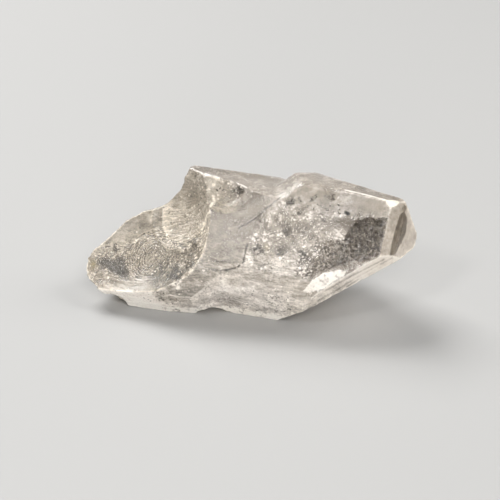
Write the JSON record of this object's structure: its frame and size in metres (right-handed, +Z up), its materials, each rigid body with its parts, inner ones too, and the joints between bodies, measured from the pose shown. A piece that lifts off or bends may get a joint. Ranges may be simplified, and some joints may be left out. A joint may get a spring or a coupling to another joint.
{
  "type": "quartz point",
  "caption": "Clear natural quartz crystal with a faceted point at one end and a broken, shell-scarred end, lying on its side.",
  "frame": {"origin": "centre of the part's box in plan, on the level face that it rests on", "axes": "+X towards the crystal's point, along the longest extent; +Y to the back; +Z up from the resting face"},
  "size_m": [0.055, 0.0238, 0.0211],
  "materials": {
    "clear_quartz": "clear natural crystal faces, lightly frosted shell-shaped breaks"
  },
  "bodies": {
    "root": {"quartz_point": "clear_quartz"}
  },
  "joints": []
}
